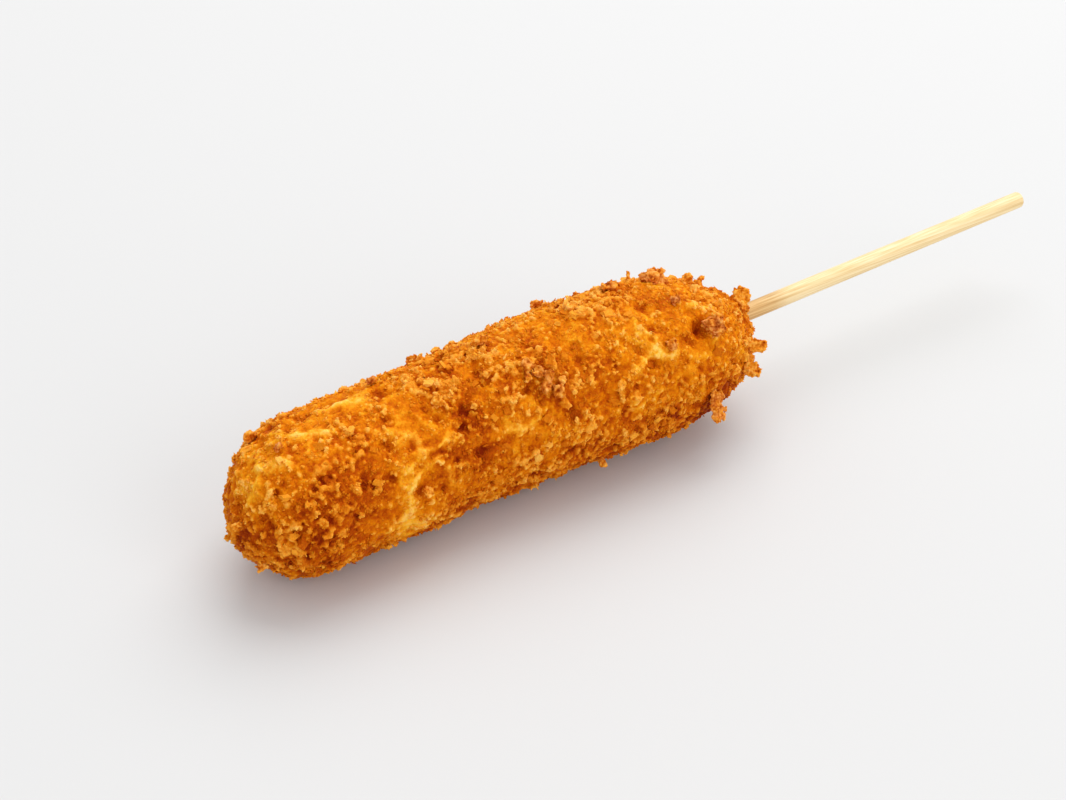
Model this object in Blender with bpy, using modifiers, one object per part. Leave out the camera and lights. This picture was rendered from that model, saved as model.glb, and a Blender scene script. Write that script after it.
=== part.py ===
"""A corn dog: a sausage on a stick, dipped in batter, rolled in bread crumbs and fried.

It lies on its side. X runs along it, from the rounded tip of the food to the free end of the
stick. Z is up, and the flat that it rests on is at Z = 0. The crust is solid, with a blind bore
for the stick, and its outer surface is the middle of its rough layer of crumbs.
"""

import math

import bmesh
import bpy
from mathutils import Matrix, Vector, noise

# Driving dimensions, in metres. A station is a distance along X behind the tip of the food.
CRUST_LENGTH = 0.1510
TIP_RADIUS = 0.0203  # outer radius where the rounded tip begins
SHOULDER_RADIUS = 0.0220  # outer radius at the fattest place, near the stick
TIP_DOME = 0.0220  # length of the rounded tip
SHOULDER_DOME = 0.0365  # length over which the crust rounds off towards the stick
SHOULDER_DOME_POWER = 1.95  # 2 is an ellipse, and less is more pointed
WAIST_STATION, WAIST_DEPTH, WAIST_REACH = 0.0610, 0.0008, 0.0120
RESTING_FLAT_DEPTH = 0.0008  # how much of the crust is pressed flat underneath

STICK_DIAMETER = 0.0048
STICK_SHOWN = 0.1050
STICK_INSIDE = 0.1150
STICK_RISE = math.radians(2.1)  # the stick's slope, rising towards its free end
STICK_ABOVE_MIDDLE = 0.0007  # the stick's height over the crust's middle, at the shoulder
STICK_END_ROUNDING = 0.0004
BORE_CLEARANCE = 0.0003

# The crust is made by hand, so it is a little bowed and uneven.
SIDEWAYS_BOW = 0.0037
BROAD_LUMP_SIZE, BROAD_LUMP_HEIGHT = 0.020, 0.0006
SMALL_LUMP_SIZE, SMALL_LUMP_HEIGHT = 0.007, 0.0004

# Fineness of the faceted solids.
DOME_RINGS = 11
BARREL_RING_SPACING = 0.0035
CRUST_SIDES = 44
STICK_SIDES = 24

FATTEST_STATION = CRUST_LENGTH - SHOULDER_DOME


def clear_scene():
    for obj in list(bpy.data.objects):
        bpy.data.objects.remove(obj)


def collection(name):
    made = bpy.data.collections.new(name)
    bpy.context.scene.collection.children.link(made)
    return made


def material(name, colour, roughness):
    made = bpy.data.materials.new(name)
    made.use_nodes = True
    shader = made.node_tree.nodes["Principled BSDF"]
    shader.inputs["Base Color"].default_value = (*colour, 1.0)
    shader.inputs["Roughness"].default_value = roughness
    shader.inputs["Metallic"].default_value = 0.0
    return made


def add_object(name, form, group):
    """Turns a bmesh into a named object in a collection."""
    mesh = bpy.data.meshes.new(name)
    form.to_mesh(mesh)
    form.free()
    made = bpy.data.objects.new(name, mesh)
    group.objects.link(made)
    return made


def barrel_radius(station):
    """Radius of the crust without its domes: it swells from the tip to the shoulder."""
    share = min(max((station - TIP_DOME) / (FATTEST_STATION - TIP_DOME), 0.0), 1.0)
    eased = share * share * (3.0 - 2.0 * share)
    return TIP_RADIUS + (SHOULDER_RADIUS - TIP_RADIUS) * eased


def dome(share, power):
    """How wide a dome is, from 1 at its base to 0 at its end, where share is 1."""
    return (1.0 - min(share, 1.0) ** power) ** (1.0 / power)


def crust_radius(station):
    """Outer radius of the turned crust, with its waist and its two domes."""
    from_waist = (station - WAIST_STATION) / WAIST_REACH
    radius = barrel_radius(station) - WAIST_DEPTH * math.exp(-from_waist * from_waist)
    if station < TIP_DOME:
        radius *= dome(1.0 - station / TIP_DOME, 2.0)
    if station > FATTEST_STATION:
        radius *= dome((station - FATTEST_STATION) / SHOULDER_DOME, SHOULDER_DOME_POWER)
    return radius


def crust_middle(station):
    """Middle of the crust at a station: its side bows a little, and its underside is level."""
    bow = SIDEWAYS_BOW * math.sin(math.pi * station / CRUST_LENGTH)
    return Vector((station, bow, barrel_radius(station) - RESTING_FLAT_DEPTH))


def ring_stations():
    """Stations of the crust's rings, close together where the domes curve most."""
    turns = [i / DOME_RINGS * math.pi / 2.0 for i in range(DOME_RINGS + 1)]
    barrel = FATTEST_STATION - TIP_DOME
    count = round(barrel / BARREL_RING_SPACING)
    tip = [TIP_DOME * (1.0 - math.cos(turn)) for turn in turns[:-1]]
    middle = [TIP_DOME + barrel * i / count for i in range(count)]
    shoulder = [FATTEST_STATION + SHOULDER_DOME * math.sin(turn) for turn in turns]
    return tip + middle + shoulder


def turned_crust():
    """The smooth turned form, as a bmesh whose Z is minus the station."""
    profile = bpy.data.meshes.new("crust_profile")
    points = [(crust_radius(station), 0.0, -station) for station in ring_stations()]
    profile.from_pydata(points, [(i, i + 1) for i in range(len(points) - 1)], [])
    turned = bpy.data.objects.new("crust_profile", profile)
    bpy.context.scene.collection.objects.link(turned)
    screw = turned.modifiers.new("Turn", "SCREW")
    screw.axis = "Z"
    screw.steps = screw.render_steps = CRUST_SIDES
    screw.use_merge_vertices = True
    screw.merge_threshold = 0.00001
    graph = bpy.context.evaluated_depsgraph_get()
    form = bmesh.new()
    form.from_object(turned, graph)
    bpy.data.objects.remove(turned)
    return form


def lump(place):
    """How far the crust stands out at a place, from broad swellings and smaller bumps."""
    broad = noise.noise(place / BROAD_LUMP_SIZE) * BROAD_LUMP_HEIGHT
    small = noise.noise(place / SMALL_LUMP_SIZE) * SMALL_LUMP_HEIGHT
    return broad + small


def lay_down(form):
    """Lays the turned form along X, bows it and makes its crust uneven."""
    for vertex in form.verts:
        outwards = Vector((0.0, vertex.co.y, vertex.co.x))
        place = crust_middle(-vertex.co.z) + outwards
        if outwards.length > STICK_DIAMETER / 10.0:
            place += outwards.normalized() * lump(place)
        vertex.co = place
    bmesh.ops.recalc_face_normals(form, faces=form.faces)


def cut(obj, cutter, name):
    cutter.hide_render = True
    cutter.display_type = "WIRE"
    boolean = obj.modifiers.new(name, "BOOLEAN")
    boolean.operation = "DIFFERENCE"
    boolean.solver = "EXACT"
    boolean.object = cutter


def rod_along_stick(name, radius, first_station, last_station, group):
    """A round rod whose middle line is the stick's, from one station to another."""
    slope = math.cos(STICK_RISE)
    form = bmesh.new()
    bmesh.ops.create_cone(
        form,
        cap_ends=True,
        segments=STICK_SIDES,
        radius1=radius,
        radius2=radius,
        depth=(last_station - first_station) / slope,
    )
    rod = add_object(name, form, group)
    along = Vector((slope, 0.0, math.sin(STICK_RISE)))
    crossing = crust_middle(FATTEST_STATION) + Vector((0.0, 0.0, STICK_ABOVE_MIDDLE))
    reach = ((first_station + last_station) / 2.0 - FATTEST_STATION) / slope
    rod.location = crossing + along * reach
    rod.rotation_euler = along.to_track_quat("Z", "Y").to_euler()
    return rod


def make_resting_surface(group):
    """The block below Z = 0 that presses the crust flat."""
    form = bmesh.new()
    bmesh.ops.create_cube(form, size=2.0 * CRUST_LENGTH)
    bmesh.ops.translate(form, verts=form.verts, vec=(CRUST_LENGTH / 2.0, 0.0, -CRUST_LENGTH))
    return add_object("resting_surface", form, group)


def make_stick_bore(group):
    """The hole for the stick, with a small gap round it and at its blind end."""
    start = CRUST_LENGTH - STICK_INSIDE - BORE_CLEARANCE
    radius = STICK_DIAMETER / 2.0 + BORE_CLEARANCE
    return rod_along_stick("stick_bore", radius, start, CRUST_LENGTH + STICK_DIAMETER, group)


def make_crumbed_body(group, cutters, finish):
    form = turned_crust()
    lay_down(form)
    body = add_object("crumbed_body", form, group)
    body.data.materials.append(finish)
    body.data.shade_smooth()
    cut(body, make_resting_surface(cutters), "Resting flat")
    cut(body, make_stick_bore(cutters), "Stick bore")


def make_stick(group, finish):
    start = CRUST_LENGTH - STICK_INSIDE
    stick = rod_along_stick("stick", STICK_DIAMETER / 2.0, start, CRUST_LENGTH + STICK_SHOWN, group)
    stick.data.materials.append(finish)
    stick.data.shade_smooth()
    bevel = stick.modifiers.new("Rounded ends", "BEVEL")
    bevel.width = STICK_END_ROUNDING
    bevel.segments = 2
    bevel.limit_method = "ANGLE"
    bevel.angle_limit = math.radians(60.0)


def centre_over_origin(parts, cutters):
    """Moves everything so that the parts' box is centred on X = 0 and Y = 0."""
    graph = bpy.context.evaluated_depsgraph_get()
    places = []
    for part in parts.objects:
        solid = part.evaluated_get(graph)
        places += [solid.matrix_world @ vertex.co for vertex in solid.data.vertices]
    shift = Vector((0.0, 0.0, 0.0))
    for axis in (0, 1):
        along = [place[axis] for place in places]
        shift[axis] = -(min(along) + max(along)) / 2.0
    for obj in list(parts.objects) + list(cutters.objects):
        obj.location += shift


def main():
    clear_scene()
    parts = collection("corn_dog")
    cutters = collection("cutters")
    make_crumbed_body(parts, cutters, material("fried_crumb", (0.66, 0.19, 0.02), 0.6))
    make_stick(parts, material("bamboo", (0.93, 0.71, 0.38), 0.5))
    centre_over_origin(parts, cutters)


main()
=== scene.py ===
# %% [markdown]
# # A crumb-coated corn dog
#
# A sausage on a bamboo stick is dipped in batter, rolled in coarse bread crumbs and fried. The
# lesson builds what the eye sees of it: a lumpy crust, thousands of loose crumbs that stand out
# of it, a few big toasted flakes, and a round bamboo stick.
#
# The solid model already fixes the sizes. It is loaded first, and every measure below is read
# from it, so the fine surface lands exactly where the plain solids are.

import math

import bmesh
import bpy
import numpy as np
from mathutils import Matrix, Vector, noise
from mathutils.bvhtree import BVHTree


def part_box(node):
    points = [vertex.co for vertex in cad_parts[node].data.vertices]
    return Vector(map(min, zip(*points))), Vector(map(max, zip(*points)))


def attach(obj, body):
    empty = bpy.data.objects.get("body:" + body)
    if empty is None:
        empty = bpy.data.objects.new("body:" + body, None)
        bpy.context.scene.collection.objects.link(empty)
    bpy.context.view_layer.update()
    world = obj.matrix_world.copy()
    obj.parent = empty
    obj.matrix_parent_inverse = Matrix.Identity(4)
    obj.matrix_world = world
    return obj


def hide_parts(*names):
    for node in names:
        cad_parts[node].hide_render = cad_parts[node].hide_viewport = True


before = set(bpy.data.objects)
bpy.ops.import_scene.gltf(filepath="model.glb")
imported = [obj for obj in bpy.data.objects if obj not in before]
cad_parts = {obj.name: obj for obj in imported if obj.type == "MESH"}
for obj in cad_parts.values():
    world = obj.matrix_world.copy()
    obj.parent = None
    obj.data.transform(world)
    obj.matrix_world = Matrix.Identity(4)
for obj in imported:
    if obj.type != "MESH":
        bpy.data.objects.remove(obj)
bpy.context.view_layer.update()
MM = 0.001

body_low, body_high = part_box("crumbed_body")
body_middle = (body_low + body_high) / 2.0
print("body in mm:", [round(side / MM, 1) for side in body_high - body_low])

# %% [markdown]
# ## The camera first
#
# A long lens (54 mm) looks down on the food from its front left, 40 cm away. The camera sits on
# a ball around a target: an azimuth turns it round the food, an elevation lifts it.

# %% Camera
VIEW_AZIMUTH, VIEW_ELEVATION = math.radians(-33.1), math.radians(35.6)
VIEW_DISTANCE = 400 * MM
VIEW_TARGET = body_middle + Vector((8.6, -1.0, -0.1)) * MM

towards_camera = Vector((
    math.sin(VIEW_AZIMUTH) * math.cos(VIEW_ELEVATION),
    -math.cos(VIEW_AZIMUTH) * math.cos(VIEW_ELEVATION),
    math.sin(VIEW_ELEVATION),
))
bpy.ops.object.camera_add(location=VIEW_TARGET + towards_camera * VIEW_DISTANCE)
camera = bpy.context.object
camera.rotation_euler = towards_camera.to_track_quat("Z", "Y").to_euler()
camera.data.lens = 54.0
camera.data.clip_start = 10 * MM
bpy.context.scene.camera = camera
print("camera at", [round(c, 3) for c in camera.location])

# %% Small helpers for modelling
def select_only(obj):
    """Makes one object active and the only one selected."""
    bpy.ops.object.select_all(action="DESELECT")
    obj.select_set(True)
    bpy.context.view_layer.objects.active = obj


def select_faces(obj, wanted):
    """In edit mode, selects the faces for which wanted(face) is true, and counts them."""
    form = bmesh.from_edit_mesh(obj.data)
    for item in (*form.verts, *form.edges, *form.faces):
        item.select = False
    chosen = [face for face in form.faces if wanted(face)]
    for face in chosen:
        face.select = True
    form.select_flush_mode()
    bmesh.update_edit_mesh(obj.data)
    return len(chosen)


def apply_modifier(obj, kind, **settings):
    """Adds a modifier, sets it up and applies it."""
    modifier = obj.modifiers.new(kind.title(), kind)
    for key, value in settings.items():
        setattr(modifier, key, value)
    select_only(obj)
    bpy.ops.object.modifier_apply(modifier=modifier.name)


def coordinates(mesh):
    """A mesh's points as an array with one row each."""
    points = np.empty(len(mesh.vertices) * 3)
    mesh.vertices.foreach_get("co", points)
    return points.reshape(-1, 3)


def set_coordinates(mesh, points):
    mesh.vertices.foreach_set("co", points.ravel())
    mesh.update()


def paint(mesh, name, values):
    """Stores one number for each point, which a material can read by its name."""
    attribute = mesh.attributes.new(name, "FLOAT", "POINT")
    attribute.data.foreach_set("value", np.asarray(values, np.float32))


# %% [markdown]
# ## Where things are on the body
#
# Two numbers name any place on the crust: how far it is behind the tip, and how far round the
# body it lies. The second is a turn in degrees: 0 is the front, 90 the top, 180 the back.

# %% Places on the body
def middle_at(station):
    """A point on the straight line through the body, a distance behind its tip."""
    return Vector((body_low.x + station, body_middle.y, body_middle.z))


def outwards(turn):
    angle = math.radians(turn)
    return Vector((0.0, -math.cos(angle), math.sin(angle)))


def on_surface(tree, station, turn):
    """The crust's point and normal at a station and a turn."""
    place, normal, _, _ = tree.ray_cast(middle_at(station), outwards(turn))
    return place, normal


stick_points = coordinates(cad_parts["stick"].data)
stick_low_x, stick_high_x = stick_points[:, 0].min(), stick_points[:, 0].max()
near_end = stick_points[stick_points[:, 0] > stick_high_x - 1 * MM].mean(axis=0)
far_end = stick_points[stick_points[:, 0] < stick_low_x + 1 * MM].mean(axis=0)
stick_inner = Vector(far_end)
stick_outer = Vector(near_end)
stick_along = (stick_outer - stick_inner).normalized()
STICK_RADIUS = 2.4 * MM
print("stick rises", round(math.degrees(math.asin(stick_along.z)), 2), "degrees")

# %% [markdown]
# ## The batter
#
# The real crust is batter that swelled in hot oil and set round the crumbs that stuck to it. It
# could be sculpted on a sphere pulled long, but a copy of the solid body already has the right
# size and bend. Its hole for the stick is closed, because the batter grips the stick. A voxel
# remesh then turns its long triangles into small even squares, which is what a sculpted surface
# needs, and a smooth takes the facets away.

# %% Copy the solid and close the hole
BATTER_SINK = 1.35 * MM  # the batter lies this far inside the solid, because crumbs stand on it
BATTER_VOXEL = 0.6 * MM

batter = bpy.data.objects.new("batter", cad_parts["crumbed_body"].data.copy())
bpy.context.scene.collection.objects.link(batter)
batter.data.materials.clear()
select_only(batter)
bpy.ops.object.mode_set(mode="EDIT")
bpy.ops.mesh.select_all(action="SELECT")
bpy.ops.mesh.remove_doubles(threshold=0.01 * MM)


def in_the_bore(face):
    """Whether a face belongs to the wall or the end of the stick's hole."""
    for vertex in face.verts:
        reach = vertex.co - stick_inner
        if (reach - stick_along * reach.dot(stick_along)).length > STICK_RADIUS + 0.4 * MM:
            return False
    return True


print("faces of the hole:", select_faces(batter, in_the_bore))
bpy.ops.mesh.delete(type="FACE")
bpy.ops.mesh.select_mode(type="VERT")
bpy.ops.mesh.select_non_manifold()
bpy.ops.mesh.edge_face_add()
bpy.ops.object.mode_set(mode="OBJECT")

apply_modifier(batter, "REMESH", mode="VOXEL", voxel_size=BATTER_VOXEL)
apply_modifier(batter, "SMOOTH", factor=0.5, iterations=25)
print("batter squares:", len(batter.data.polygons))

# %% [markdown]
# ## The relief of the batter
#
# Each point of the batter moves along its normal by a height in millimetres. Several sizes are
# added together, as they are on the real thing: broad swellings, hollows where steam burst out,
# and a web of low ridges between small dimples.
#
# Some patches stayed bare of crumbs. There the web shows as paler veins.

# %% Noise for the whole crust
def noise_map(points, size, shift=0.0):
    """Smooth noise from about -1 to 1, with lumps of the given size in metres."""
    scaled = points / size + shift
    return np.array([noise.noise(Vector(point)) for point in scaled])


def web_map(points, size, width):
    """1 on the walls between scattered cells of the given size, 0 inside the cells."""
    swirl = np.stack([noise_map(points, 1.3 * size, shift) for shift in (3.7, 19.2, 44.8)], axis=1)
    scaled = points / size + 0.45 * swirl
    gaps = np.empty(len(points))
    for index, point in enumerate(scaled):
        near, next_near, _, _ = noise.voronoi(Vector(point))[0]
        gaps[index] = next_near - near
    return np.exp(-((gaps / width) ** 2))


# %% Hollows, bare patches and veins
# Each row: station in mm, turn in degrees, radius in mm, depth in mm.
HOLLOWS = [
    (43, 3, 3.8, 1.7),
    (58, 49, 2.4, 1.2),
    (60, 15, 2.6, 1.3),
    (75, 47, 2.2, 1.4),
    (126.2, 44, 3.2, 3.4),
    (66, 74, 2.0, 0.9),
    (96, 22, 2.4, 0.7),
    (88, 190, 3.0, 1.2),
    (35, 215, 2.6, 1.1),
    (112, 160, 2.4, 1.1),
    (60, 240, 2.8, 1.0),
]
# Each row: station, turn, radius in mm.
BARE_PATCHES = [
    (43, 40, 8.0),
    (44, 8, 7.0),
    (35, -14, 7.0),
    (34, 96, 8.0),
    (92, 76, 6.0),
    (12, 68, 6.0),
    (22, 77, 6.0),
    (111, 44, 9.0),
    (126, 55, 5.0),
    (72, 22, 7.0),
    (58, 175, 10.0),
    (118, 200, 9.0),
    (24, 245, 9.0),
    (90, 125, 7.0),
]
# Each vein runs through its places: station, turn.
VEINS = [
    [(34, 62), (40, 53), (44, 43), (45, 33), (44, 22), (41, 14), (39, 4), (38, -8), (33, -16)],
    [(45, 33), (49, 31), (53, 33)],
    [(48, 24), (50, 12), (50, 0), (48, -12)],
    [(28, 100), (34, 97), (39, 92)],
    [(8, 73), (11, 66), (14, 60)],
    [(18, 82), (22, 77), (27, 72)],
    [(40, 24), (43, 20)],
    [(67, 24), (70, 20), (73, 22)],
    [(127, 64), (130, 60), (133, 56)],
    [(104, 33), (108, 37), (112, 44), (112, 52), (109, 58)],
    [(110, 38), (114, 34), (119, 32)],
    [(97, 8), (100, 12), (103, 6)],
    [(52, 182), (58, 174), (64, 177), (70, 168)],
    [(112, 205), (118, 198), (124, 202)],
    [(18, 240), (25, 246), (31, 241)],
]

# Big crumbs crowd together here. Each row: station, turn, radius in mm.
CRUMB_FIELDS = [
    (66, 64, 11),
    (80, 48, 8),
    (62, 98, 9),
    (98, 102, 11),
    (98, 66, 7),
    (139, 72, 9),
    (20, 22, 6),
    (11, -8, 6),
    (146, 5, 10),
    (75, 0, 8),
    (106, -8, 6),
    (40, 200, 16),
    (100, 190, 18),
    (132, 236, 16),
    (70, 250, 14),
]

# Where the crust looks darker or paler: partly its own fried colour, partly painted light and shade, such as
# the painted shadow in the hollow beside the big flake and a painted sheen along the top. Each row: station,
# turn, radius, change of tone.
TONE_FIELDS = [
    (4, -12, 7, -0.12),
    (3, 62, 5, 0.24),
    (23, 36, 8, -0.13),
    (34, -4, 6, -0.18),
    (10, 98, 6, 0.10),
    (6, 34, 6, 0.24),
    (8, 48, 5, -0.10),
    (16, 60, 5, -0.10),
    (16, -4, 6, -0.08),
    (26, 62, 6, 0.10),
    (34, 28, 8, -0.14),
    (43, 3, 4, -0.16),
    (41, -22, 9, 0.42),
    (42, 14, 5, 0.18),
    (57, 28, 7, -0.16),
    (68, 98, 9, 0.02),
    (69, 46, 5, 0.08),
    (70, -20, 8, 0.16),
    (79, -3, 6, 0.28),
    (80, 13, 5, -0.08),
    (79, 72, 8, -0.12),
    (91, 58, 7, -0.26),
    # painted sheen along the top
    (92, 86, 10, 0.10),
    (104, 100, 7, 0.06),
    (100, 20, 14, 0.08),
    (112, -24, 9, -0.12),
    (118, -5, 8, 0.18),
    # painted shadow: the hollow beside the big flake is darkened as if by the flake's cast shade
    (126, 44, 3.4, -0.55),
    (127, 42, 7, 0.14),
    (126, 62, 8, -0.14),
    (128, -22, 7, -0.38),
    (134, 24, 12, 0.06),
    (141, 42, 5, 0.16),
    (142, -3, 5, 0.12),
    (143, 94, 6, 0.05),
]

smooth_tree = BVHTree.FromObject(batter, bpy.context.evaluated_depsgraph_get())


def distance_to_path(points, path):
    """How far each point is from a line through several places."""
    nearest = np.full(len(points), np.inf)
    for start, end in zip(path[:-1], path[1:]):
        start, end = np.array(start), np.array(end)
        run = end - start
        share = np.clip((points - start) @ run / (run @ run), 0.0, 1.0)
        foot = start + share[:, None] * run
        nearest = np.minimum(nearest, np.linalg.norm(points - foot, axis=1))
    return nearest


def bell(distance, reach):
    """1 in the middle, falling smoothly to nothing past the reach."""
    return np.exp(-((distance / reach) ** 2))


def near_place(points, station, turn, reach):
    """1 at a place on the batter, falling to nothing past the reach."""
    place, _ = on_surface(smooth_tree, station * MM, turn)
    return bell(np.linalg.norm(points - np.array(place), axis=1), reach)


def patches(points, rows):
    """1 inside any of the patches that the rows list, falling off round them."""
    share = np.zeros(len(points))
    for station, turn, radius in rows:
        share = np.maximum(share, near_place(points, station, turn, radius * MM))
    return share


def tone_map(points):
    """The broad changes of tone that TONE_FIELDS lists, added up."""
    change = np.zeros(len(points))
    for station, turn, radius, amount in TONE_FIELDS:
        change += amount * near_place(points, station, turn, radius * MM)
    return change


def hollow_map(points):
    """How deep the hollows are at each point, in mm."""
    depths = np.zeros(len(points))
    for station, turn, radius, depth in HOLLOWS:
        depths += depth * near_place(points, station, turn, 0.75 * radius * MM)
    return depths


def vein_map(points):
    away = np.full(len(points), np.inf)
    for run in VEINS:
        path = [on_surface(smooth_tree, station * MM, turn)[0] for station, turn in run]
        away = np.minimum(away, distance_to_path(points, path))
    return bell(away, (1.3 + 0.7 * noise_map(points, 2.5 * MM, 11.9)) * MM)


# %% Raise the relief
smooth = coordinates(batter.data)
smooth_normals = np.empty(len(smooth) * 3)
batter.data.vertices.foreach_get("normal", smooth_normals)
smooth_normals = smooth_normals.reshape(-1, 3)

hollow = hollow_map(smooth)
bare = patches(smooth, BARE_PATCHES)
vein = vein_map(smooth)

broad = noise_map(smooth, 10 * MM)
knobs = noise_map(smooth, 3.6 * MM, 7.3)
pits = np.clip(noise_map(smooth, 4.6 * MM, 31.7) - 0.12, 0.0, 1.0)
web = web_map(smooth, 3.6 * MM, 0.16)

height = 0.50 * broad + 0.45 * knobs - 2.0 * pits - hollow + 0.3 * web + 0.5 * vein
raised = smooth + smooth_normals * (height * MM - BATTER_SINK)[:, None]
set_coordinates(batter.data, raised)
batter_tree = BVHTree.FromObject(batter, bpy.context.evaluated_depsgraph_get())
print("relief in mm: from", round(height.min(), 2), "to", round(height.max(), 2))

# %% [markdown]
# ## Crumb shapes
#
# Bread crumbs break off a loaf as little blocks and splinters, no two alike. A few shapes are modelled once,
# each from a cube or a coarse ball: it is cut finer, its points are shaken, and it is squeezed. Clumps,
# chains and flakes are then put together from the smallest ones. Thousands of copies are strewn later, so
# the small shapes have only a few dozen faces.

# %% Model the crumb shapes
def crumb_shape(seed, cuts, shake, squeeze):
    """Models one crumb, about 1 unit long, and gives its points and faces."""
    bpy.ops.object.select_all(action="DESELECT")
    if cuts:
        bpy.ops.mesh.primitive_cube_add(size=0.62)
    else:
        bpy.ops.mesh.primitive_ico_sphere_add(subdivisions=1, radius=0.42)
    crumb = bpy.context.object
    bpy.ops.object.mode_set(mode="EDIT")
    bpy.ops.mesh.select_all(action="SELECT")
    if cuts:
        bpy.ops.mesh.subdivide(number_cuts=cuts)
    bpy.ops.transform.vertex_random(offset=shake, uniform=1.0, seed=seed)
    bpy.ops.transform.resize(value=squeeze)
    bpy.ops.mesh.quads_convert_to_tris()
    bpy.ops.object.mode_set(mode="OBJECT")
    points = coordinates(crumb.data)
    faces = np.array([face.vertices[:] for face in crumb.data.polygons])
    bpy.data.objects.remove(crumb)
    return points, faces


def unit(rows):
    return rows / np.linalg.norm(rows, axis=-1, keepdims=True)


def turns(rng, count):
    """Random turns, as three square axes each."""
    first = unit(rng.normal(size=(count, 3)))
    second = unit(np.cross(first, rng.normal(size=(count, 3))))
    return np.stack([first, second, np.cross(first, second)], axis=1)


def joined(parts):
    """Joins shapes, each given by its points and faces, into one."""
    points, faces, start = [], [], 0
    for part_points, part_faces in parts:
        points.append(part_points)
        faces.append(part_faces + start)
        start += len(part_points)
    return np.concatenate(points), np.concatenate(faces)


def cluster(seed, bits, middles, size):
    """Puts a bit, turned at random, at each middle."""
    rng = np.random.default_rng(seed)
    parts = []
    for middle, turned in zip(middles, turns(rng, len(middles))):
        points, faces = bits[rng.integers(len(bits))]
        parts.append((points @ turned * size * rng.uniform(0.75, 1.3) + middle, faces))
    return joined(parts)


def clump_shape(seed, bits, pieces, spread, size):
    """A nubbly crumb: bits scattered in a flat egg."""
    rng = np.random.default_rng(seed)
    reach = rng.uniform(0.3, 1.0, size=(pieces, 1))
    return cluster(seed, bits, unit(rng.normal(size=(pieces, 3))) * spread * reach, size)


def chain_shape(seed, bits, pieces, size):
    """A crooked twig: bits in a row that wanders."""
    rng = np.random.default_rng(seed)
    along = np.linspace(-0.45, 0.45, pieces)
    wander = np.cumsum(rng.normal(size=(pieces, 2)) * (0.13, 0.07), axis=0)
    return cluster(seed, bits, np.column_stack([along, wander - wander.mean(axis=0)]), size)


def flake_shape(seed, bits, size):
    """A jagged plate in the flat of X and Y, rooted at the origin and 1 unit long along X."""
    rng = np.random.default_rng(seed)
    middles = []
    for x in np.arange(0.06, 0.95, 0.12):
        reach = 0.46 * math.sin(math.pi * (0.2 + 0.55 * x)) * rng.uniform(0.7, 1.2)
        for y in np.arange(-reach, reach + 0.01, 0.14):
            middles.append((x, y, 0.0) + rng.normal(size=3) * (0.03, 0.03, 0.06))
    return cluster(seed, bits, np.array(middles), size)


NUBS = [crumb_shape(seed, 0, 0.16, (1.1, 0.85, 0.7)) for seed in range(1, 9)]
GRAINS = [crumb_shape(seed, 1, 0.20, (1.15, 0.9, 0.75)) for seed in range(11, 19)]
BLOCKS = [crumb_shape(seed, 3, 0.17, (1.3, 0.9, 0.6)) for seed in range(71, 81)]
CHIPS = [crumb_shape(seed, 1, 0.15, (1.4, 1.0, 0.6)) for seed in range(81, 93)]
SHARDS = [crumb_shape(seed, 0, 0.12, (1.8, 0.55, 0.4)) for seed in range(21, 27)]
CLUMPS = [clump_shape(seed, GRAINS, 9, (0.5, 0.36, 0.2), 0.38) for seed in range(31, 41)]
CHAINS = [chain_shape(seed, GRAINS, 6, 0.30) for seed in range(51, 59)]
FLAKES = [flake_shape(seed, GRAINS, 0.30) for seed in range(61, 67)]
for name, shapes in (("nub", NUBS), ("grain", GRAINS), ("clump", CLUMPS), ("flake", FLAKES)):
    print(name, "triangles:", [len(faces) for _, faces in shapes])

# %% [markdown]
# ## Strewing the crumbs
#
# A random triangle of the surface is drawn for each crumb, larger triangles more often, and fewer
# where the batter is bare. The crumb is turned at random, leans a little off the surface, and
# sinks part of the way in.

# %% The scattering
def triangle_corners(mesh):
    """The three corners of each of a mesh's triangles."""
    mesh.calc_loop_triangles()
    triangles = np.empty(len(mesh.loop_triangles) * 3, int)
    mesh.loop_triangles.foreach_get("vertices", triangles)
    return coordinates(mesh)[triangles.reshape(-1, 3)], triangles.reshape(-1, 3)


class Ground:
    """A surface to strew on: its triangles, which way they face and how likely each is."""

    def __init__(self, mesh, ups, liking):
        self.corners, triangles = triangle_corners(mesh)
        sides = self.corners[:, 1:] - self.corners[:, :1]
        area = np.linalg.norm(np.cross(sides[:, 0], sides[:, 1]), axis=1)
        self.up = unit(ups[triangles].mean(axis=1))
        pressed = (self.corners[:, :, 2].max(axis=1) < 1.4 * MM) & (self.up[:, 2] < -0.6)
        self.chance = area * liking[triangles].mean(axis=1) * ~pressed
        self.chance /= self.chance.sum()


def strewn(ground, shapes, count, seed, sizes, lift, lean):
    """Copies of the shapes strewn over a ground: points, faces and each point's crumb."""
    rng = np.random.default_rng(seed)
    picked = rng.choice(len(ground.corners), size=count, p=ground.chance)
    mix = rng.dirichlet((1, 1, 1), size=count)[:, :, None]
    place = (ground.corners[picked] * mix).sum(axis=1)
    up = ground.up[picked]
    standing = unit(up + lean * rng.normal(size=(count, 3)))
    side = unit(np.cross(standing, rng.normal(size=(count, 3))))
    turned = np.stack([side, np.cross(standing, side), standing], axis=1)
    small, large = sizes
    size = small * (large / small) ** rng.beta(1.2, 2.0, size=count)
    middle = place + up * (lift * size)[:, None]
    which = rng.integers(len(shapes), size=count)
    parts, owners = [], []
    for index, (shape, faces) in enumerate(shapes):
        mine = np.flatnonzero(which == index)
        grown = shape[None] * size[mine, None, None] @ turned[mine] + middle[mine, None]
        steps = np.arange(len(mine))[:, None, None] * len(shape)
        parts.append((grown.reshape(-1, 3), (faces[None] + steps).reshape(-1, 3)))
        owners.append(np.repeat(mine, len(shape)))
    points, faces = joined(parts)
    return points, faces, np.concatenate(owners)


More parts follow.
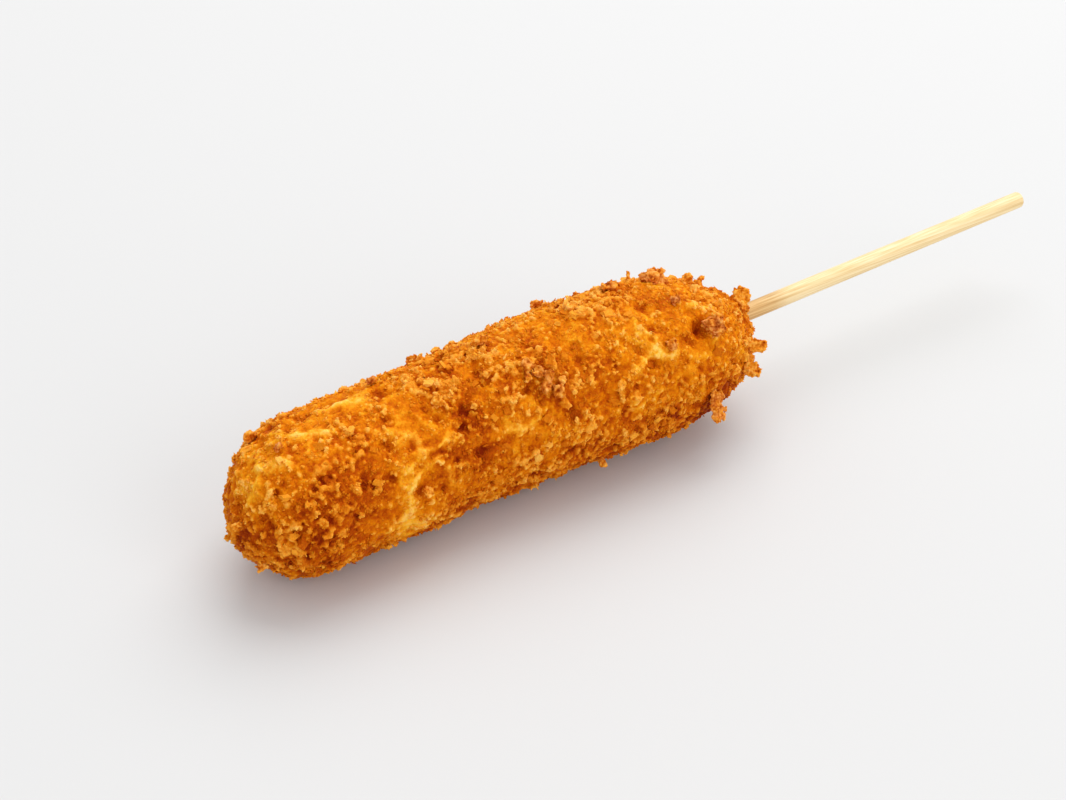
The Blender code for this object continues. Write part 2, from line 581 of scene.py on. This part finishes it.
def mesh_object(name, points, faces):
    mesh = bpy.data.meshes.new(name)
    mesh.from_pydata(points, [], faces)
    obj = bpy.data.objects.new(name, mesh)
    bpy.context.scene.collection.objects.link(obj)
    return obj


# %% [markdown]
# ## The big flakes, one by one
#
# A few large flakes give the piece its outline, so they are listed one by one. Each is hinged on the batter:
# it lies flat at a rise of 0 and stands straight up at 90. Its heading says which way it points: 0 to the
# stick, 180 to the tip, and 90 round the body towards smaller turns.

# %% Set the big flakes
# Each row: station, turn, length, width, thickness, rise, heading, toast from 0 to 1.
BIG_FLAKES = [
    (145, 64, 5.8, 5.8, 1.8, 72, 330, 0.05),
    (146, 52, 3.2, 3.6, 2.0, 60, 10, 0.35),
    (142, 12, 6.0, 4.4, 2.0, 62, 20, 0.1),
    (140, -6, 5.4, 4.6, 2.2, 68, 42, 0.15),
    (127, -6, 9.5, 6.2, 3.0, 40, 114, 0.6),
    (130, 42, 5.8, 5.8, 5.2, 12, 350, 0.9),
    (124, 101, 6.8, 5.4, 5.4, 12, 0, 0.6),
    (119, 112, 3.4, 1.2, 1.0, 85, 90, 0.1),
    (134, 98, 3.6, 4.4, 2.6, 55, 0, 0.15),
    (111, 106, 3.8, 4.8, 2.6, 35, 90, 0.6),
    (123, 70, 2.8, 2.4, 2.4, 30, 0, 1.0),
    (115, 40, 3.2, 3.2, 2.2, 15, 0, 0.7),
    (77, 63, 4.0, 3.2, 2.8, 20, -90, 0.5),
    (79, 56, 3.6, 3.0, 2.8, 25, 30, 0.6),
    (81, 50, 4.0, 3.0, 3.0, 25, -60, 0.6),
    (79, 43, 3.0, 2.6, 2.4, 15, 60, 0.5),
    (82, 38, 3.8, 3.0, 3.0, 20, -90, 0.6),
    (76, 54, 2.8, 2.2, 2.0, 30, 120, 0.4),
    (84, 44, 2.6, 2.2, 2.0, 30, 90, 0.4),
    (43, 4, 3.0, 2.8, 2.6, 25, 90, 0.2),
    (67, 70, 3.2, 2.8, 2.4, 25, 90, 0.05),
    (53, 63, 3.4, 3.2, 2.4, 30, 0, 0.05),
    (61, 50, 3.2, 2.4, 2.4, 35, 180, 0.05),
    (71, 104, 4.4, 5.0, 2.6, 40, 90, 0.25),
    (66, 115, 2.8, 1.4, 1.0, 80, 90, 0.1),
    (94, -38, 3.4, 2.2, 1.6, 75, -90, 0.2),
    (14, 76, 2.6, 1.8, 1.6, 15, 0, 1.0),
    (43, 109, 2.6, 2.6, 1.8, 30, 90, 0.9),
    (1, 12, 3.0, 1.8, 1.4, 70, 180, 0.1),
    (4, -40, 3.4, 3.2, 2.2, 60, 200, 0.2),
    (12, 120, 3.2, 3.6, 2.2, 45, 90, 0.15),
    (98, 150, 4.4, 4.6, 2.4, 45, 90, 0.3),
    (60, 150, 4.0, 4.2, 2.4, 40, 100, 0.2),
    (126, 175, 4.8, 5.0, 2.6, 40, 60, 0.3),
    (30, 165, 3.8, 4.0, 2.4, 40, 120, 0.2),
    (82, 205, 4.2, 4.4, 2.4, 45, 80, 0.4),
    (140, 120, 4.4, 5.0, 2.4, 55, 20, 0.2),
    (146, 160, 4.0, 4.4, 2.2, 55, 10, 0.3),
    (145, 215, 4.2, 4.6, 2.2, 55, -10, 0.2),
    (44, 225, 4.0, 4.2, 2.4, 40, 70, 0.6),
    (110, 235, 4.0, 4.0, 2.4, 40, 90, 0.2),
]


def hinged_flake(index, row):
    """One big flake where its row puts it: points, faces, and its middle, axes and size."""
    station, turn, length, width, thickness, rise, heading, _ = row
    place, out = on_surface(smooth_tree, station * MM, turn)
    ahead = (Vector((1.0, 0.0, 0.0)) - out * out.x).normalized()
    sideways = ahead.cross(out)
    bearing, tilt = math.radians(heading), math.radians(rise)
    level = ahead * math.cos(bearing) + sideways * math.sin(bearing)
    long_way = level * math.cos(tilt) + out * math.sin(tilt)
    thin_way = out * math.cos(tilt) - level * math.sin(tilt)
    axes = np.array([long_way, thin_way.cross(long_way), thin_way])
    blocky = thickness > 0.6 * length
    points, faces = (BLOCKS if blocky else FLAKES)[index % 6]
    size = np.array((length, width, thickness)) * MM
    root = np.array(place - out * (0.3 if blocky else 1.3) * MM)
    sized = (points - points.mean(axis=0)) / np.ptp(points, axis=0) * size
    middle = root + axes[0] * (0.0 if blocky else 0.45 * size[0])
    return sized @ axes + middle, faces, (middle, axes, size)


flakes = [hinged_flake(index, row) for index, row in enumerate(BIG_FLAKES)]
print("big flakes:", len(flakes))

# %% [markdown]
# ## One crust out of batter and crumbs
#
# Batter that sets round crumbs has no seam between the two. So all of them are joined and voxel
# remeshed once more, at a third of a millimetre: that is fine enough to keep each crumb's corners
# and it melts them into the batter. Light can then travel inside crumb and batter alike.

# %% Join and remesh
CRUST_VOXEL = 0.327 * MM

crowded = np.clip(0.5 + 1.7 * noise_map(smooth, 7 * MM, 91.3), 0.05, 1.5) * (1.0 - bare) ** 2
field = patches(smooth, CRUMB_FIELDS)
open_air = np.clip(1.0 - hollow, 0.0, 1.0)
big_ground = Ground(batter.data, smooth_normals, crowded * (0.15 + field) * open_air)
small_ground = Ground(batter.data, smooth_normals, (0.3 + crowded) * (1.0 - 0.7 * bare) * open_air)
stuck = [
    strewn(big_ground, CLUMPS, 560, 1, (1.6 * MM, 4.4 * MM), 0.08, 0.35),
    strewn(big_ground, CHAINS, 550, 2, (1.6 * MM, 4.0 * MM), 0.06, 0.25),
    strewn(big_ground, BLOCKS, 260, 5, (1.6 * MM, 3.4 * MM), 0.12, 0.5),
    strewn(small_ground, GRAINS, 2000, 3, (0.9 * MM, 2.0 * MM), 0.08, 0.8),
    strewn(small_ground, GRAINS, 2200, 4, (0.7 * MM, 1.2 * MM), 0.12, 0.8),
]
crust_parts = [(points, faces) for points, faces, _ in stuck]
crust = mesh_object("fried_crust", *joined(crust_parts))
select_only(crust)
batter.select_set(True)
bpy.ops.object.join()
apply_modifier(crust, "REMESH", mode="VOXEL", voxel_size=CRUST_VOXEL)
print("crust squares:", len(crust.data.polygons))

# %% [markdown]
# ## What stands proud is paler
#
# Proud places are painted paler, as painted highlight, and low places darker, as painted shade. The crust is
# blurred twice, a little and a lot, and each point's height above the blurred surfaces says how proud it
# stands. The numbers are kept on the points for the material to read.

# %% Measure and paint the crust
def blurred(mesh, passes):
    """The points of a mesh after a number of smoothing passes, and the normals there."""
    spare = bpy.data.objects.new("spare", mesh.copy())
    bpy.context.scene.collection.objects.link(spare)
    apply_modifier(spare, "SMOOTH", factor=0.5, iterations=passes)
    normals = np.empty(len(mesh.vertices) * 3)
    spare.data.vertices.foreach_get("normal", normals)
    points = coordinates(spare.data)
    bpy.data.meshes.remove(spare.data)
    return points, normals.reshape(-1, 3)


points = coordinates(crust.data)
near_points, near_normals = blurred(crust.data, 8)
far_points, far_normals = blurred(crust.data, 90)
proud_near = ((points - near_points) * near_normals).sum(axis=1) / MM
proud_far = ((points - far_points) * far_normals).sum(axis=1) / MM
print("stands proud by up to", round(proud_far.max(), 2), "mm and down to", round(proud_far.min(), 2))

above_batter = np.array([batter_tree.find_nearest(Vector(point))[3] for point in points]) / MM
crumb = np.clip((above_batter - 0.12) / 0.2, 0.0, 1.0)
grit = noise_map(points, 0.75 * MM, 3.1)
dimples = np.clip(-noise_map(points, 1.9 * MM, 63.2) - 0.1, 0.0, 1.0)
points += near_normals * (MM * (0.16 * grit - 0.3 * dimples))[:, None]
points[:, 2] = np.maximum(points[:, 2], 0.05 * MM)
set_coordinates(crust.data, points)

crust_bare = patches(points, BARE_PATCHES)
crust_vein = vein_map(points) * np.clip(0.65 + 1.2 * noise_map(points, 0.9 * MM, 21.4), 0.0, 1.0)
# Painted highlight and shade: what stands proud, raised grit included, is painted paler and low places
# darker. The TONE_FIELDS patches mix painted light and shade with the crust's own colour.
crust_tone = 0.395 + 0.30 * proud_near + 0.52 * proud_far + 0.12 * grit + tone_map(points)
crust_tone += 0.20 * noise_map(points, 5.0 * MM, 5.5) + 0.14 * noise_map(points, 12.0 * MM, 2.2)
# Painted shade: the crust is painted darker towards the bottom, where less light falls.
crust_tone -= 0.14 * np.clip(0.45 - (points[:, 2] - body_middle.z) / (20 * MM), -0.4, 1.0)
crust_tone += crumb * (0.13 + 0.12 * noise_map(points, 1.6 * MM, 77.7))
# Painted shade: dimples and hollows are painted darker. Bare patches and veins are the batter's own paler
# colour.
crust_tone += 0.13 * crust_bare + 0.42 * crust_vein - 0.2 * dimples - 0.2 * hollow_map(points)
print("tone:", np.percentile(crust_tone, (5, 50, 95)).round(2), "crumb share", crumb.mean())
paint(crust.data, "tone", np.clip(crust_tone, -0.3, 1.0))
paint(crust.data, "dry", crumb)
paleness = np.clip(2.0 * crust_tone - 0.8, 0.0, 1.0)
paint(crust.data, "bare", (0.1 + 0.35 * crust_bare) * crust_vein * paleness)
paint(crust.data, "toast", np.zeros(len(points)))
crust.data.shade_smooth()

# %% [markdown]
# ## The big flakes stay separate
#
# A big flake is bread that fried by itself, crisper and browner than the batter it is stuck in.
# The flakes get a finer remesh of their own, so that their corners and pores stay sharp.

# %% Join, remesh and roughen the big flakes
FLAKE_VOXEL = 0.2 * MM

big_flakes = mesh_object("big_flakes", *joined([(points, faces) for points, faces, _ in flakes]))
apply_modifier(big_flakes, "REMESH", mode="VOXEL", voxel_size=FLAKE_VOXEL)
flake_points = coordinates(big_flakes.data)
_, flake_normals = blurred(big_flakes.data, 3)
humps = noise_map(flake_points, 1.3 * MM, 12.7)
grains = noise_map(flake_points, 0.55 * MM, 51.1)
flake_points += flake_normals * (MM * (0.22 * humps + 0.15 * grains))[:, None]
set_coordinates(big_flakes.data, flake_points)

toast = np.zeros(len(flake_points))
nearest = np.full(len(flake_points), np.inf)
for (_, _, (middle, axes, size)), row in zip(flakes, BIG_FLAKES):
    away = np.abs((flake_points - middle) @ axes.T / size).max(axis=1)
    toast = np.where(away < nearest, row[-1], toast)
    nearest = np.minimum(nearest, away)
toast *= np.clip(0.7 + 1.2 * noise_map(flake_points, 1.7 * MM, 8.8), 0.2, 1.0)
# Painted highlight and shade: raised humps and grains are painted paler and their dips darker; toast browns
# the flake as its own colour.
paint(big_flakes.data, "tone", np.clip(0.60 - 0.12 * toast + 0.5 * humps + 0.4 * grains, 0.0, 1.0))
paint(big_flakes.data, "dry", np.full(len(toast), 1.0))
paint(big_flakes.data, "bare", np.zeros(len(toast)))
paint(big_flakes.data, "toast", toast)
big_flakes.data.shade_smooth()
big_flakes.data.calc_loop_triangles()
print("flake triangles:", len(big_flakes.data.loop_triangles))

# %% [markdown]
# ## Loose crumbs on top
#
# The finest crumbs only dust the crust. They are too small for the remesh, so they are strewn on top as they
# are. All crumbs of one kind are joined into one mesh. They take their tone from the crust under them, with
# the painted light and shade it holds, a little paler, so that they belong to it.

# %% Strew the loose crumbs
gathered = np.clip(0.6 + 1.3 * noise_map(points, 4.5 * MM, 27.3), 0.08, 1.5) * (1.0 - 0.7 * crust_bare)
gathered *= np.clip(0.3 + 0.9 * crust_tone, 0.02, 1.1) * (1.0 - 0.8 * crust_vein)
crust_ground = Ground(crust.data, near_normals, gathered)
chip_ground = Ground(crust.data, near_normals, 0.04 + patches(points, CRUMB_FIELDS))
crust_tree = BVHTree.FromObject(crust, bpy.context.evaluated_depsgraph_get())
crust_squares = np.array([face.vertices[:] for face in crust.data.polygons])


def loose_crumbs(name, ground, shapes, count, seed, sizes, lift, lean, paler):
    """Strews one kind of loose crumb over the crust and paints it."""
    crumb_points, faces, owners = strewn(ground, shapes, count, seed, sizes, lift, lean)
    crumb_points[:, 2] = np.maximum(crumb_points[:, 2], 0.05 * MM)
    obj = mesh_object(name, crumb_points, faces)
    middles = np.stack([np.bincount(owners, axis) for axis in crumb_points.T], axis=1)
    middles /= np.bincount(owners)[:, None]
    under = [crust_squares[crust_tree.find_nearest(Vector(middle))[2]][0] for middle in middles]
    shades = np.random.default_rng(seed + 100).uniform(*paler, size=count)
    # The crust's tone under each crumb, with its painted highlight and shade, is copied onto the crumb.
    paint(obj.data, "tone", np.clip(crust_tone[under] + shades, 0.0, 1.0)[owners])
    paint(obj.data, "dry", np.full(len(owners), 0.8))
    paint(obj.data, "bare", np.zeros(len(owners)))
    paint(obj.data, "toast", np.zeros(len(owners)))
    obj.data.shade_smooth()
    obj.data.set_sharp_from_angle(angle=math.radians(40))
    print(f"{name}: {count} crumbs, {len(faces)} triangles")
    return obj


crumbs = [
    loose_crumbs("fine_crumbs", crust_ground, NUBS, 9500, 11, (0.4 * MM, 0.9 * MM), 0.0, 0.8, (-0.05, 0.18)),
    loose_crumbs("pale_crumbs", crust_ground, NUBS, 4600, 14, (0.6 * MM, 1.3 * MM), 0.10, 0.8, (0.05, 0.22)),
    loose_crumbs("bread_chips", chip_ground, CHIPS, 430, 15, (1.4 * MM, 3.1 * MM), 0.0, 0.3, (-0.06, 0.08)),
    loose_crumbs("splinters", crust_ground, SHARDS, 1700, 12, (0.6 * MM, 1.4 * MM), 0.1, 0.7, (-0.05, 0.18)),
    loose_crumbs("grains", crust_ground, GRAINS, 2500, 13, (0.7 * MM, 1.4 * MM), 0.05, 0.6, (-0.05, 0.18)),
]

# %% [markdown]
# ## Four lengths of crust
#
# The crust now has too many triangles for one file, so it is sawn across into four lengths, and
# each cut is closed. The rims of the cuts are marked sharp, so the shading runs on across them.

# %% Saw the crust into lengths
LENGTH_NAMES = ("tip_crust", "lower_crust", "upper_crust", "stick_end_crust")
POINTS_SEARCHED = 1000


def clear_cut(share):
    """A place for a cut, near a share of all points and in the widest gap between them."""
    along = np.sort(points[:, 0])
    first = int(share * len(along)) - POINTS_SEARCHED // 2
    near = along[first:first + POINTS_SEARCHED]
    gap = np.argmax(np.diff(near))
    return (near[gap] + near[gap + 1]) / 2.0


saw_cuts = [clear_cut(share) for share in (0.25, 0.5, 0.75)]
print("cuts at:", [round(cut / MM, 2) for cut in saw_cuts], "mm")


def saw(obj, cut, keep_far_side):
    """Cuts an object across X, keeps one side and closes the cut."""
    select_only(obj)
    bpy.ops.object.mode_set(mode="EDIT")
    bpy.ops.mesh.select_all(action="SELECT")
    bpy.ops.mesh.bisect(
        plane_co=(cut, 0.0, 0.0),
        plane_no=(1.0, 0.0, 0.0),
        use_fill=True,
        clear_inner=keep_far_side,
        clear_outer=not keep_far_side,
        threshold=0.0001 * MM,
    )
    bpy.ops.mesh.mark_sharp()
    bpy.ops.object.mode_set(mode="OBJECT")


lengths = []
for index, name in enumerate(LENGTH_NAMES):
    length = bpy.data.objects.new(name, crust.data.copy())
    length.data.name = name
    bpy.context.scene.collection.objects.link(length)
    if index > 0:
        saw(length, saw_cuts[index - 1], True)
    if index < len(saw_cuts):
        saw(length, saw_cuts[index], False)
    length.data.calc_loop_triangles()
    print(name, "triangles:", len(length.data.loop_triangles))
    lengths.append(length)
bpy.data.objects.remove(crust)

# %% [markdown]
# ## The fried crumb material
#
# Fried bread is saturated orange because light goes in, bounces about in the oily crumb and
# comes out again. So the colour is partly under the surface. A tone from dark to pale, painted
# on each point and broken up by noise, picks the colour from a ramp.

# %% Material helpers
def new_material(name):
    """A material with only a Principled shader, and a helper that adds linked nodes."""
    made = bpy.data.materials.new(name)
    made.use_nodes = True
    nodes, links = made.node_tree.nodes, made.node_tree.links

    def node(kind, inputs=None, **settings):
        added = nodes.new(kind)
        for key, value in settings.items():
            setattr(added, key, value)
        for key, value in (inputs or {}).items():
            if isinstance(value, bpy.types.NodeSocket):
                links.new(value, added.inputs[key])
            else:
                added.inputs[key].default_value = value
        return added

    return made, nodes["Principled BSDF"], node, links


def ramp(node, factor, stops):
    """A colour ramp: each stop is a place from 0 to 1 and a colour."""
    added = node("ShaderNodeValToRGB", {"Fac": factor})
    elements = added.color_ramp.elements
    while len(elements) < len(stops):
        elements.new(0.5)
    for element, (place, colour) in zip(elements, stops):
        element.position = place
        element.color = (*colour, 1.0)
    return added.outputs["Color"]


# %% Fried crumb
BATTER_STOPS = [
    (0.00, (0.23, 0.016, 0.0001)),
    (0.25, (0.49, 0.079, 0.0002)),
    (0.50, (0.73, 0.201, 0.0008)),
    (0.75, (0.92, 0.395, 0.014)),
    (1.00, (0.99, 0.560, 0.100)),
]
CRUMB_STOPS = [
    (0.00, (0.25, 0.023, 0.0002)),
    (0.25, (0.50, 0.090, 0.0010)),
    (0.50, (0.73, 0.215, 0.0060)),
    (0.75, (0.90, 0.365, 0.0330)),
    (1.00, (0.97, 0.500, 0.0950)),
]
TOASTED_STOPS = [
    (0.10, (0.28, 0.040, 0.003)),
    (0.50, (0.61, 0.170, 0.028)),
    (0.90, (0.88, 0.370, 0.120)),
]
BARE_BATTER = (1.0, 0.62, 0.16)


def fried_crumb(name, glow, depth):
    made, shader, node, links = new_material(name)
    place = node("ShaderNodeTexCoord").outputs["Object"]
    # The painted tone carries painted highlight on proud places and painted shade in low ones, besides the
    # crust's own colour.
    tone = node("ShaderNodeAttribute", attribute_name="tone").outputs["Fac"]
    bare_share = node("ShaderNodeAttribute", attribute_name="bare").outputs["Fac"]
    toast_share = node("ShaderNodeAttribute", attribute_name="toast").outputs["Fac"]
    mottle = node("ShaderNodeTexNoise", {"Vector": place, "Scale": 1900.0, "Detail": 3.0,
                                          "Roughness": 0.8})
    blotch = node("ShaderNodeTexNoise", {"Vector": place, "Scale": 130.0, "Detail": 2.0})
    fine = node("ShaderNodeMath", {0: mottle.outputs["Fac"], 1: 0.54, 2: -0.27},
                operation="MULTIPLY_ADD")
    wide = node("ShaderNodeMath", {0: blotch.outputs["Fac"], 1: 0.30, 2: -0.15},
                operation="MULTIPLY_ADD")
    both = node("ShaderNodeMath", {0: fine.outputs[0], 1: wide.outputs[0]}, operation="ADD")
    total = node("ShaderNodeMath", {0: both.outputs[0], 1: tone}, operation="ADD", use_clamp=True)
    dry_share = node("ShaderNodeAttribute", attribute_name="dry").outputs["Fac"]
    batter_colour = ramp(node, total.outputs[0], BATTER_STOPS)
    crumb_colour = ramp(node, total.outputs[0], CRUMB_STOPS)
    fried = node("ShaderNodeMix", {"Factor": dry_share, "A": batter_colour, "B": crumb_colour},
                 data_type="RGBA").outputs["Result"]
    toasted = ramp(node, total.outputs[0], TOASTED_STOPS)
    veined = node("ShaderNodeMix", {"Factor": bare_share, "A": fried, "B": (*BARE_BATTER, 1.0)},
                  data_type="RGBA")
    colour = node("ShaderNodeMix", {"Factor": toast_share, "A": veined.outputs["Result"],
                                    "B": toasted}, data_type="RGBA")
    links.new(colour.outputs["Result"], shader.inputs["Base Color"])
    gloss = node("ShaderNodeMapRange", {"Value": mottle.outputs["Fac"], "To Min": 0.42, "To Max": 0.7})
    links.new(gloss.outputs["Result"], shader.inputs["Roughness"])
    pores = node("ShaderNodeTexNoise", {"Vector": place, "Scale": 2600.0, "Detail": 2.0})
    bump = node("ShaderNodeBump", {"Height": pores.outputs["Fac"], "Strength": 0.8,
                                   "Distance": 0.35 * MM})
    links.new(bump.outputs["Normal"], shader.inputs["Normal"])
    shader.inputs["Specular IOR Level"].default_value = 0.03
    shader.inputs["Subsurface Weight"].default_value = glow
    shader.inputs["Subsurface Radius"].default_value = (1.0, 0.45, 0.2)
    shader.inputs["Subsurface Scale"].default_value = depth
    return made


crust_finish = fried_crumb("fried_crust", 0.35, 0.4 * MM)
for piece in lengths:
    piece.data.materials.append(crust_finish)
loose_finish = fried_crumb("loose_crumb", 0.2, 0.2 * MM)
for piece in (*crumbs, big_flakes):
    piece.data.materials.append(loose_finish)

# %% [markdown]
# ## The stick
#
# The stick is a round bamboo rod, sawn off square. It is modelled by extruding a disc along its
# length in short steps.

# %% Model the stick
STICK_SIDES, STICK_STEPS = 64, 44
stick_length = (stick_outer - stick_inner).length

bpy.ops.object.select_all(action="DESELECT")
bpy.ops.mesh.primitive_circle_add(vertices=STICK_SIDES, radius=STICK_RADIUS, fill_type="NGON")
stick = bpy.context.object
stick.name = stick.data.name = "bamboo_stick"
bpy.ops.object.mode_set(mode="EDIT")
bpy.ops.mesh.select_all(action="SELECT")
for _ in range(STICK_STEPS):
    bpy.ops.mesh.extrude_region_move(
        TRANSFORM_OT_translate={"value": (0.0, 0.0, stick_length / STICK_STEPS)}
    )
for end in (0.0, stick_length):
    select_faces(stick, lambda face: len(face.verts) == STICK_SIDES and abs(face.calc_center_median().z - end) < 0.1 * MM)
    bpy.ops.mesh.bevel(offset=0.22 * MM, segments=2, affect="EDGES")
bpy.ops.mesh.select_all(action="SELECT")
bpy.ops.mesh.normals_make_consistent(inside=False)
bpy.ops.object.mode_set(mode="OBJECT")

rod = coordinates(stick.data)
angle = np.arctan2(rod[:, 1], rod[:, 0])
across = np.hypot(rod[:, 0], rod[:, 1]) / STICK_RADIUS
wrap = np.stack([np.cos(angle) * 9.0, np.sin(angle) * 9.0, rod[:, 2] / (60 * MM)], axis=1)
fibre = np.array([noise.noise(Vector(point)) for point in wrap])
wave = np.array([noise.noise(Vector((0.3, 0.8, z / (25 * MM)))) for z in rod[:, 2]])
swell = 1.0 + (0.012 * fibre + 0.008 * wave) * across
rod[:, :2] *= swell[:, None]
set_coordinates(stick.data, rod)
stick.data.transform(stick_along.to_track_quat("Z", "Y").to_matrix().to_4x4())
stick.data.transform(Matrix.Translation(stick_inner))
stick.data.shade_smooth()
stick.data.set_sharp_from_angle(angle=math.radians(50))
print("stick faces:", len(stick.data.polygons))

# %% Bamboo
def bamboo(name):
    made, shader, node, links = new_material(name)
    place = node("ShaderNodeTexCoord").outputs["Object"]
    fibres = node("ShaderNodeMapping", {"Vector": place, "Scale": (18.0, 2600.0, 2600.0)})
    streaks = node("ShaderNodeTexNoise", {"Vector": fibres.outputs["Vector"], "Scale": 1.0,
                                          "Detail": 4.0})
    dry_bamboo = ramp(node, streaks.outputs["Fac"], [
        (0.30, (0.72, 0.49, 0.21)),
        (0.50, (0.86, 0.66, 0.35)),
        (0.70, (0.95, 0.79, 0.50)),
    ])
    oily_bamboo = ramp(node, streaks.outputs["Fac"], [
        (0.30, (0.50, 0.27, 0.085)),
        (0.55, (0.68, 0.42, 0.16)),
        (0.75, (0.80, 0.56, 0.26)),
    ])
    oil = node("ShaderNodeAttribute", attribute_name="oil").outputs["Fac"]
    colour = node("ShaderNodeMix", {"Factor": oil, "A": dry_bamboo, "B": oily_bamboo},
                  data_type="RGBA")
    links.new(colour.outputs["Result"], shader.inputs["Base Color"])
    shader.inputs["Roughness"].default_value = 0.5
    shader.inputs["Specular IOR Level"].default_value = 0.3
    return made


# Frying oil crept a little way out of the crust along the fibres.
oil_edge = body_high.x + (9.0 + 3.0 * fibre) * MM
oil = 1.0 - (coordinates(stick.data)[:, 0] - oil_edge) / (7.0 * MM)
paint(stick.data, "oil", np.clip(oil, 0.0, 1.0))
stick.data.materials.append(bamboo("bamboo"))

# %% Floor, light and world
bpy.ops.object.select_all(action="DESELECT")
bpy.ops.mesh.primitive_plane_add(size=8.0)
floor = bpy.context.object
floor.name = "table_top"
white, floor_shader, _, _ = new_material("white_table")
floor_shader.inputs["Base Color"].default_value = (0.66, 0.66, 0.66, 1.0)
floor_shader.inputs["Roughness"].default_value = 0.9
floor_shader.inputs["Specular IOR Level"].default_value = 0.1
floor.data.materials.append(white)

world = bpy.data.worlds.new("studio")
world.use_nodes = True
world.node_tree.nodes["Background"].inputs["Color"].default_value = (1.0, 1.0, 1.0, 1.0)
world.node_tree.nodes["Background"].inputs["Strength"].default_value = 0.80
bpy.context.scene.world = world


def soft_box(name, place, size, watts):
    bpy.ops.object.light_add(type="AREA", location=place)
    lamp = bpy.context.object
    lamp.name = name
    lamp.data.size = size
    lamp.data.energy = watts
    lamp.rotation_euler = (lamp.location - body_middle).to_track_quat("Z", "Y").to_euler()
    return lamp


soft_box("key_soft_box", (0.75, 0.6, 1.6), 1.8, 24.5)
soft_box("fill_soft_box", (0.3, -1.4, 0.7), 1.0, 6.5)
bpy.context.scene.view_settings.view_transform = "Standard"

# %% Hang the pieces on the root body and hide the solids they replace
for piece in (*lengths, *crumbs, big_flakes):
    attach(piece, "root")
    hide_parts("crumbed_body")
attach(stick, "root")
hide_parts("stick")

print("crumb triangles:", sum(len(piece.data.polygons) for piece in crumbs))
